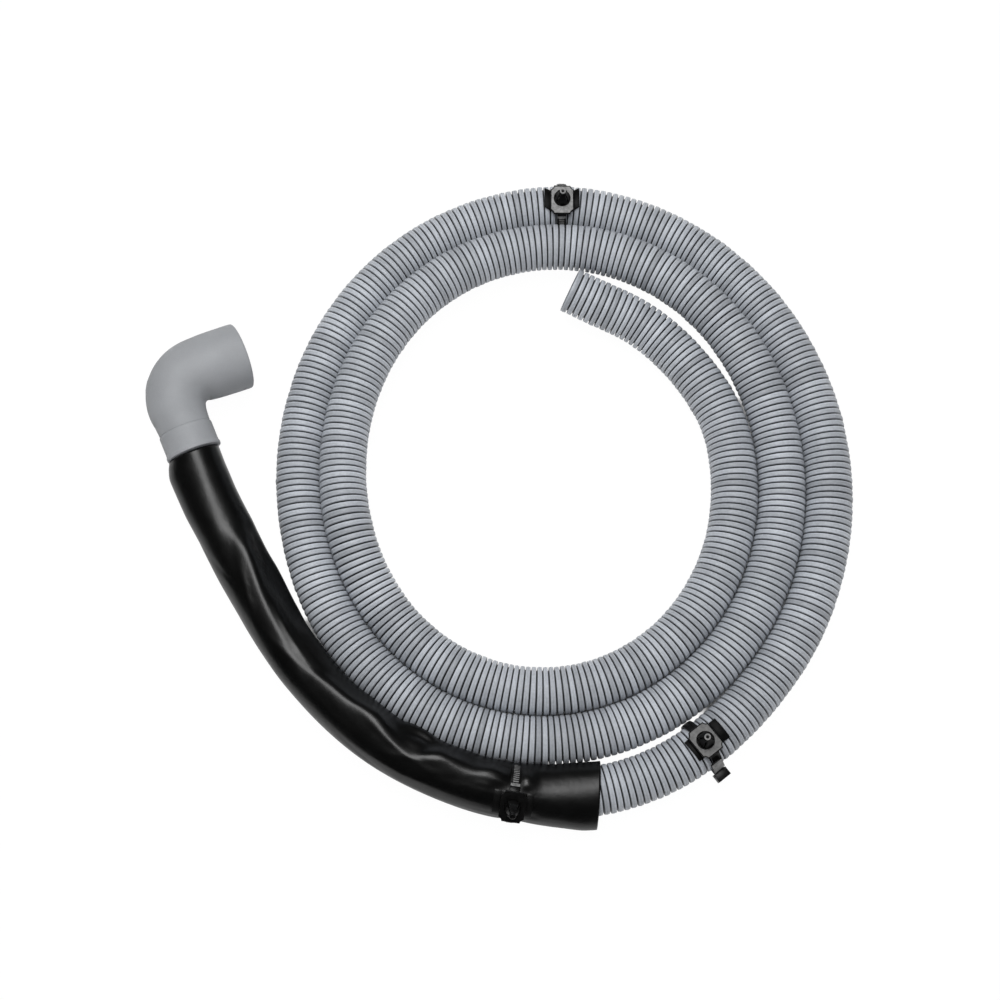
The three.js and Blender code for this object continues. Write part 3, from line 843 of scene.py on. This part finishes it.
def make_elbow():
    step_at = OUTLET_ARM - COLLAR_LENGTH
    seat = OUTLET_ARM - INSERTION - CLEARANCE
    outer = [
        *[mouth_ring(MOUTH_ARM - back, MOUTH_RADIUS + wider) for back, wider in MOUTH_OUTSIDE],
        *[bend_ring(step / 12, 0) for step in range(13)],
        outlet_ring(PIVOT + 3, BEND_NECK - 0.8),
        *[outlet_ring(step_at - back, COLLAR_RADIUS + wider) for back, wider in COLLAR_STEP],
        *[outlet_ring(OUTLET_ARM - back, COLLAR_RADIUS + wider) for back, wider in COLLAR_LIP],
    ]
    inner = [
        outlet_ring(OUTLET_ARM, COLLAR_BORE + 0.15), outlet_ring(OUTLET_ARM - 0.3, COLLAR_BORE),
        outlet_ring(seat + 0.3, COLLAR_BORE), outlet_ring(seat, COLLAR_BORE - 0.3),
        outlet_ring(seat, BORE_RADIUS), outlet_ring(seat - 0.5, BORE_RADIUS),
        *[bend_ring(step / 8, ELBOW_WALL) for step in range(8, -1, -1)],
        *[mouth_ring(MOUTH_ARM - back, MOUTH_BORE + wider) for back, wider in MOUTH_INSIDE],
    ]
    piece = start_piece("elbow_moulding")
    loft(piece, outer + inner, ELBOW_SIDES, True)
    close_piece(piece)
    apply_modifier(piece, "SUBSURF", levels=1, render_levels=1)
    bpy.ops.object.shade_smooth()
    piece.select_set(False)
    return piece


elbow = make_elbow()
dress(elbow, elbow_grey)
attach(elbow, "root")
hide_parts("elbow")


# Cable ties and push mounts, drawn with the hose along X and the pin towards +Z

X_WAY, Y_WAY, Z_WAY = Vector((1, 0, 0)), Vector((0, 1, 0)), Vector((0, 0, 1))
SADDLE_THICKNESS = 1.2
SADDLE_ANGLE = 26
SADDLE_RISE = SADDLE_THICKNESS + CLEARANCE
SADDLE_STEPS = 14
# The saddle's middle and its two wings: side, place and half width along the hose
SADDLE_PARTS = ((0, 0, 7.4), (-1, -8.7, 2.2), (1, 8.7, 2.2))
HEAD_SIZE = (8.2, 6.0, 5.0)
HEAD_SPREAD = 34
STRAP_SECTIONS = 60
STRAP_SEEN = 5.6
# Ratchet teeth: where they start, how far apart, and how far from the head
TEETH_FROM, TOOTH_STEP, TEETH_OFF_HEAD = 38.0, 4.6, 16
TOOTH_SIZE = (STRAP_SEEN * 0.62, 0.7, 0.36)
GUIDE_SIZE, GUIDE_RISE = (7.2, 7.4, 1.2), 0.5
SLOT_SIZE, SLOT_BACK = (4.8, 2.2, 0.5), 11
TIE_BEVEL, MOUNT_BEVEL = 0.22, 0.16
PLATE_SIZE = (14.0, 17.6, 1.6)
PLATE_NOTCH, PLATE_HOLE, PLATE_RIM = 2.6, 4.6, 0.42
POST_SIZE, POST_PLACE = (2.4, 9), 3.9
PIN_HEIGHT, PIN_SIDES, TIP_HEIGHT = 12.0, 20, 0.7
# Spring barbs: their turn about the pin, width and reach at the foot
BARBS = ((0, 1.0, 4.3), (90, 0.72, 4.0), (180, 1.0, 4.3), (270, 0.72, 4.0))
# A barb from the tip down: share of its length, half thickness and width
BARB_PROFILE = ((0, 0.4, 0.9), (0.25, 0.4, 1.7), (0.6, 0.35, 2.6), (1, 0.25, 3.0))


def spoke(angle):
    """Outwards from the hose's line, by degrees from the pin's side."""
    turn = math.radians(angle)
    return Vector((0, -math.sin(turn), math.cos(turn)))


def strap_radius(seat, angle, head_angle, stand_off):
    """The strap's inner radius: it passes over the saddle and stands off towards its head."""
    angle = (angle + 180) % 360 - 180
    beyond = abs(angle) - SADDLE_ANGLE
    over_saddle = SADDLE_RISE * (1 - ease((beyond - 4) / 12))
    towards_head = stand_off * bell((angle - head_angle) / HEAD_SPREAD)
    return seat + STRAP_PLAY + over_saddle + towards_head


def take_up(piece):
    bpy.ops.object.select_all(action="DESELECT")
    piece.select_set(True)
    bpy.context.view_layer.objects.active = piece


def seat_on_hose(piece, index, tilt):
    """Moves a piece drawn about the X axis to its place on the hose, its place kept in its mesh."""
    ahead = (route[index + 1] - route[index - 1]).normalized()
    left = Z_WAY.cross(ahead).normalized()
    above = ahead.cross(left)
    facing = math.cos(math.radians(tilt)) * above - math.sin(math.radians(tilt)) * left
    turn = Matrix((ahead, facing.cross(ahead), facing)).transposed().to_4x4()
    piece.matrix_world = Matrix.Translation(millimetres(route[index])) @ turn
    take_up(piece)
    bpy.ops.object.transform_apply()
    piece.select_set(False)


def make_tie(name, seat, head_angle, stand_off, aside, guide_angle):
    def inside(angle):
        return strap_radius(seat, angle, head_angle, stand_off)

    def drawn_aside(angle):
        return aside * bell((angle - head_angle) / HEAD_SPREAD) * X_WAY

    sections = []
    for step in range(STRAP_SECTIONS):
        angle = 360 * step / STRAP_SECTIONS
        place = (inside(angle) + STRAP_THICKNESS / 2) * spoke(angle) + drawn_aside(angle)
        sections.append((place, X_WAY, spoke(angle), (STRAP_SEEN / 2, STRAP_THICKNESS / 2)))
    piece = start_piece(f"cable_tie_{name}_strap")
    loft(piece, sections, 4, True)
    # Ratchet teeth, all round except under the plate and near the head
    angle = TEETH_FROM
    while angle < 360 - TEETH_FROM:
        if abs((angle - head_angle + 180) % 360 - 180) > TEETH_OFF_HEAD:
            place = (inside(angle) + STRAP_THICKNESS) * spoke(angle) + drawn_aside(angle)
            add_bar(place, TOOTH_SIZE, math.radians(angle))
        angle += TOOTH_STEP
    reach = inside(head_angle) + STRAP_THICKNESS / 2 + HEAD_SIZE[2] / 2
    add_bar(reach * spoke(head_angle) + aside * X_WAY, HEAD_SIZE, math.radians(head_angle))
    if guide_angle:
        # The head's flat guide, which faces the light, and the slot where the strap leaves it
        top = inside(guide_angle) + STRAP_THICKNESS + GUIDE_RISE
        lean = math.radians(guide_angle)
        add_bar(top * spoke(guide_angle) + aside * X_WAY, GUIDE_SIZE, lean)
        slot_at = (top + GUIDE_RISE) * spoke(guide_angle - SLOT_BACK) + aside * X_WAY
        add_bar(slot_at, SLOT_SIZE, lean)
    close_piece(piece, TIE_BEVEL)
    piece.data.materials.append(tie_black)
    piece.data.materials.append(plate_reflection_grey)
    # Painted reflection in grey: the guide's face where there is one, and else the tops of the teeth
    for face in piece.data.polygons:
        place = face.center / MM
        if guide_angle:
            out = place.dot(spoke(guide_angle))
            beside = (place - out * spoke(guide_angle)).length
            facing = face.normal.dot(spoke(guide_angle))
            painted_reflection = top + 0.45 < out < top + 0.65 and beside < 5.2 and facing > 0.9
        else:
            angle = math.degrees(math.atan2(-place.y, place.z))
            tooth = math.hypot(place.y, place.z) - inside(angle) - STRAP_THICKNESS
            painted_reflection = 0.1 < tooth < 0.24 and face.normal.x ** 2 < 0.1
        if painted_reflection:
            face.material_index = 1
    return piece


def plate_levels(seat):
    """Heights of the saddle's top and the plate's two faces over the hose's line."""
    saddle_top = seat + CLEARANCE + SADDLE_THICKNESS
    bottom = saddle_top + STRAP_PLAY + STRAP_THICKNESS + CLEARANCE
    return saddle_top, bottom, bottom + PLATE_SIZE[2]


def make_mount(name, seat, shift, lean, slide):
    saddle_top, plate_bottom, plate_top = plate_levels(seat)
    pin_top = plate_top + PIN_HEIGHT
    # Plate with hollowed corners and a round hole under its barbs
    bpy.ops.mesh.primitive_cube_add(
        size=1, location=(0, slide * MM, (plate_bottom + plate_top) / 2 * MM),
        scale=[side * MM for side in PLATE_SIZE])
    piece = bpy.context.object
    piece.name = f"push_mount_{name}_body"
    bpy.ops.object.transform_apply()
    corners = [
        (x * (PLATE_SIZE[0] / 2 + 0.6), y * (PLATE_SIZE[1] / 2 + 0.2) + slide, PLATE_NOTCH)
        for x in (-1, 1) for y in (-1, 1)]
    for x, y, radius in corners + [(0, 0, PLATE_HOLE)]:
        bpy.ops.mesh.primitive_cylinder_add(
            vertices=40, radius=radius * MM, depth=0.02, location=(x * MM, y * MM, plate_top * MM))
        cutter = bpy.context.object
        apply_modifier(piece, "BOOLEAN", object=cutter, operation="DIFFERENCE", solver="EXACT")
        bpy.data.objects.remove(cutter)
    take_up(piece)
    bpy.ops.object.mode_set(mode="EDIT")
    # Saddle: under the plate, and a wing on each side of it
    tilted = math.radians(lean)
    for side, centre, half in SADDLE_PARTS:
        saddle = []
        for step in range(SADDLE_STEPS + 1):
            angle = -SADDLE_ANGLE + 2 * SADDLE_ANGLE * step / SADDLE_STEPS
            along = math.cos(tilted * side) * X_WAY + math.sin(tilted * side) * spoke(angle + 90)
            raised = spoke(angle + abs(side) * lean / 5)
            middle = seat + CLEARANCE + SADDLE_THICKNESS / 2
            place = middle * raised + (abs(side) * shift + centre) * X_WAY
            saddle.append((place, along, raised, (half, SADDLE_THICKNESS / 2)))
        loft(piece, saddle, 4, False)
    height = plate_bottom - saddle_top + 1
    for x in (-1, 1):
        add_bar((x * POST_PLACE, 0, (saddle_top + plate_bottom) / 2), (*POST_SIZE, height))
    # Bridge across the hole, and the pin on it with a hollow ringed tip: height and radius
    add_bar((0, 0, plate_bottom + 0.5), (3.0, 10.4, 0.9))
    profile = (
        (plate_bottom + 0.4, 1.6), (plate_top + 1, 1.5), (plate_top + 7, 1.25), (pin_top - 2.4, 1.25),
        (pin_top - 1.9, 1.75), (pin_top - 0.5, 1.8), (pin_top - 0.1, 1.6), (pin_top, 1.35),
        (pin_top - 0.1, 1.05), (pin_top - 1.2, 0.85),
    )
    pin = [(Vector((0, 0, z)), X_WAY, Y_WAY, (radius, radius)) for z, radius in profile]
    loft(piece, pin, PIN_SIDES, False)
    # Four barbs in a ring, flaring down from under the tip, the two across the hose the widest
    for turn, wide, foot in BARBS:
        way = math.radians(turn)
        out = Vector((-math.sin(way), math.cos(way), 0))
        beside = Vector((math.cos(way), math.sin(way), 0))
        barb = []
        for share, thick, half in BARB_PROFILE:
            z = pin_top - 2.6 + share * (plate_top + 1.0 - pin_top + 2.6)
            spread = 1.0 + (foot - 1.3) * share ** 0.75
            barb.append((out * spread + Vector((0, 0, z)), beside, out, (half * wide, thick)))
        loft(piece, barb, 4, False)
    close_piece(piece, MOUNT_BEVEL)
    return piece


def paint_plate_reflection(piece, seat, reflection_grey):
    """Paints the plate's top grey as a painted reflection and the pin's tip lighter as a painted
    highlight; the plate's rim stays black.
    """
    piece.data.materials.append(reflection_grey)
    piece.data.materials.append(tip_highlight_grey)
    top = plate_levels(seat)[2]
    for face in piece.data.polygons:
        x, y, z = (value / MM for value in face.center)
        # The large face round the hole has its middle in the hole
        wide = math.hypot(x, y) > PLATE_HOLE - 0.1 or face.area / MM ** 2 > 60
        face.select = wide and abs(z - top) < 0.02 and face.normal.z > 0.99
    bpy.context.view_layer.objects.active = piece
    bpy.ops.object.mode_set(mode="EDIT")
    bpy.ops.mesh.select_mode(type="FACE")
    bpy.ops.mesh.inset(thickness=PLATE_RIM * MM, use_boundary=True)
    bpy.ops.mesh.select_mode(type="VERT")
    bpy.ops.object.mode_set(mode="OBJECT")
    # Painted reflection on the plate's top, painted highlight on the pin's tip
    for face in piece.data.polygons:
        if face.select:
            face.material_index = 1
        elif face.center.z / MM > top + PIN_HEIGHT - TIP_HEIGHT:
            face.material_index = 2


leads = 2 + len(lead)
LOWER_TIE = leads + coil_angles.index(LOWER_TIE_ANGLE)
UPPER_TIE = leads + coil_angles.index(UPPER_TIE_ANGLE)
# Name, point of the route, seat, tilt, head's angle, how far its strap stands off and lies aside,
# guide's angle, saddle's shift, wings' lean and plate's slide
TIES = (
    ("sleeve", SLEEVE_TIE, SLEEVED_HEIGHT, 27, -157, 0, 0, 0, 0, 0, 0),
    ("lower", LOWER_TIE, HOSE_RADIUS, -4, 94, 1.8, -1.9, 59, 1.8, 0, 0),
    ("upper", UPPER_TIE, HOSE_RADIUS, -5, 120, 0, 0, 0, 0, 31, 0.9),
)
fittings = []
for name, index, seat, tilt, head_angle, stand_off, aside, guide_angle, shift, lean, slide in TIES:
    tie = make_tie(name, seat, head_angle, stand_off, aside, guide_angle)
    seat_on_hose(tie, index, tilt)
    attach(tie, "root")
    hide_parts(f"cable_tie_{name}")
    mount = make_mount(name, seat, shift, lean, slide)
    dress(mount, tie_black if name == "sleeve" else plate_black)
    if name != "sleeve":
        # The lower plate gets the dimmer painted reflection
        paint_plate_reflection(mount, seat, plate_reflection_dim if name == "lower" else plate_reflection_grey)
    seat_on_hose(mount, index, tilt)
    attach(mount, "root")
    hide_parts(f"push_mount_{name}")
    fittings += [tie, mount]

# Points along the hose's line, in metres in the model's frame

path = [millimetres(p) for p in on_line(np.linspace(0, HOSE_LENGTH, 600))[0]]

# Floor and light

WHITE = (1, 1, 1, 1)
# Share of the floor that glows where the camera sees it and where the film mirrors it
GLOW_SEEN, GLOW_MIRRORED = 0.96, 0.08


def mix_shaders(tree, factor, first, second):
    made = add_node(tree, "MixShader")
    wire(tree, factor, made.inputs["Fac"])
    wire(tree, first.outputs[0], made.inputs[1])
    wire(tree, second.outputs[0], made.inputs[2])
    return made


def white_floor():
    """White paper that glows for the camera, except under a painted contact shade where the hose's turns
    touch above it: there the glow is off and the paper shows its own shading.
    """
    made = bpy.data.materials.new("white_floor")
    made.use_nodes = True
    tree = made.node_tree
    tree.nodes.clear()
    output = add_node(tree, "OutputMaterial")
    paper = add_node(tree, "BsdfDiffuse", (), {"Color": (0.9, 0.9, 0.9, 1)})
    glow = add_node(tree, "Emission", (), {"Color": WHITE, "Strength": 1.02})
    rays = add_node(tree, "LightPath")
    painted_contact_shade = attribute_node(tree, "painted_contact_shade")
    seen = add_node(tree, "Math", {"operation": "MULTIPLY"})
    wire(tree, rays.outputs["Is Camera Ray"], seen.inputs[0])
    wire(tree, map_node(tree, painted_contact_shade, 0.0, 1.0, GLOW_SEEN, 0.0), seen.inputs[1])
    mirrored = add_node(tree, "Math", {"operation": "MULTIPLY_ADD"}, {1: GLOW_MIRRORED})
    wire(tree, rays.outputs["Is Glossy Ray"], mirrored.inputs[0])
    wire(tree, seen.outputs[0], mirrored.inputs[2])
    blend = mix_shaders(tree, mirrored.outputs[0], paper, glow)
    wire(tree, blend.outputs[0], output.inputs["Surface"])
    return made


def lay_floor(name, size, depth, cells):
    bpy.ops.mesh.primitive_grid_add(
        x_subdivisions=cells, y_subdivisions=cells, size=size, location=(0, 0, -depth))
    made = bpy.context.object
    made.name = name
    bpy.ops.object.transform_apply()
    made.data.materials.append(paper_white)
    made.select_set(False)
    return made


paper_white = white_floor()
lay_floor("floor", 8, 0.0006, 2)
under = lay_floor("floor_under_coil", 0.46, 0.0004, 150)

# Two turns touch where their lines are this close, beside the sleeve and elsewhere
TOUCH_BY_SLEEVE, TOUCH = 31.0, 28.4
SAME_TURN, LEFT_OUT_AT_ENDS = 250, 60
# Reach and fade of the painted contact shade round each touch
CONTACT_SHADE_RADIUS, CONTACT_SHADE_FADE = 8, 2.5


def touch_points():
    """Where two turns of the hose touch: halfway between the nearest points of their lines."""
    turns, along = line[::3, :2], line_along[::3]
    apart = np.linalg.norm(turns[:, None] - turns[None], axis=2)
    apart[np.abs(along[:, None] - along[None]) < SAME_TURN] = np.inf
    nearest = apart.argmin(1)
    reach = np.where(along < route_along[SLEEVE_TIE + 1] - 6, TOUCH_BY_SLEEVE, TOUCH)
    clear_of_end = (along > LEFT_OUT_AT_ENDS) & (along < HOSE_LENGTH - LEFT_OUT_AT_ENDS)
    touching = (apart.min(1) < reach) & clear_of_end & clear_of_end[nearest]
    return (turns[touching] + turns[nearest[touching]]) / 2


# The floor patch's painted contact shade: the glow is switched off near each touch
spots = np.array([v.co[:2] for v in under.data.vertices]) / MM - np.array(ORIGIN[:2])
from_touch = nearest_to(spots, touch_points())[0]
painted_contact_shade = rise(from_touch, CONTACT_SHADE_RADIUS, -CONTACT_SHADE_FADE)
shade = under.data.attributes.new("painted_contact_shade", "FLOAT", "POINT")
shade.data.foreach_set("value", painted_contact_shade.astype(np.float32))

# Name, place, target, size, power, and whether the pieces mirror it
SOFTBOXES = (
    ("over", (-0.12, 0.3, 1.12), (-0.02, 0.05, 0), (0.5, 1.0), 9.4, True),
    ("high", (0.0, -0.1, 1.3), (0, 0, 0), (0.6, 0.6), 3.2, False),
    ("left", (-1.4, -0.2, 0.7), (0, 0, 0), (0.9, 0.6), 0.6, False),
    ("right", (1.4, 0.1, 0.8), (0, 0, 0), (0.9, 0.6), 1.6, False),
    ("near", (0.1, -1.5, 0.8), (0, 0, 0), (0.9, 0.6), 1.6, False),
)
for name, place, target, size, power, mirrored in SOFTBOXES:
    light = bpy.data.lights.new(f"softbox_{name}", "AREA")
    light.shape = "RECTANGLE"
    light.size, light.size_y = size
    light.energy = power
    aimed(light.name, light, place, target).visible_glossy = mirrored

# The studio: white behind for the camera, dim for what the glossy film mirrors
world = bpy.data.worlds.new("studio")
bpy.context.scene.world = world
world.use_nodes = True
sky = world.node_tree
sky.nodes.clear()
world_out = add_node(sky, "OutputWorld")
ambient, dim, backdrop = (
    add_node(sky, "Background", (), {"Color": WHITE, "Strength": strength})
    for strength in (0.15, 0.02, 1.0))
world_rays = add_node(sky, "LightPath")
mirror_mix = mix_shaders(sky, world_rays.outputs["Is Glossy Ray"], ambient, dim)
world_mix = mix_shaders(sky, world_rays.outputs["Is Camera Ray"], mirror_mix, backdrop)
wire(sky, world_mix.outputs[0], world_out.inputs["Surface"])

bpy.context.scene.view_settings.view_transform = "Standard"
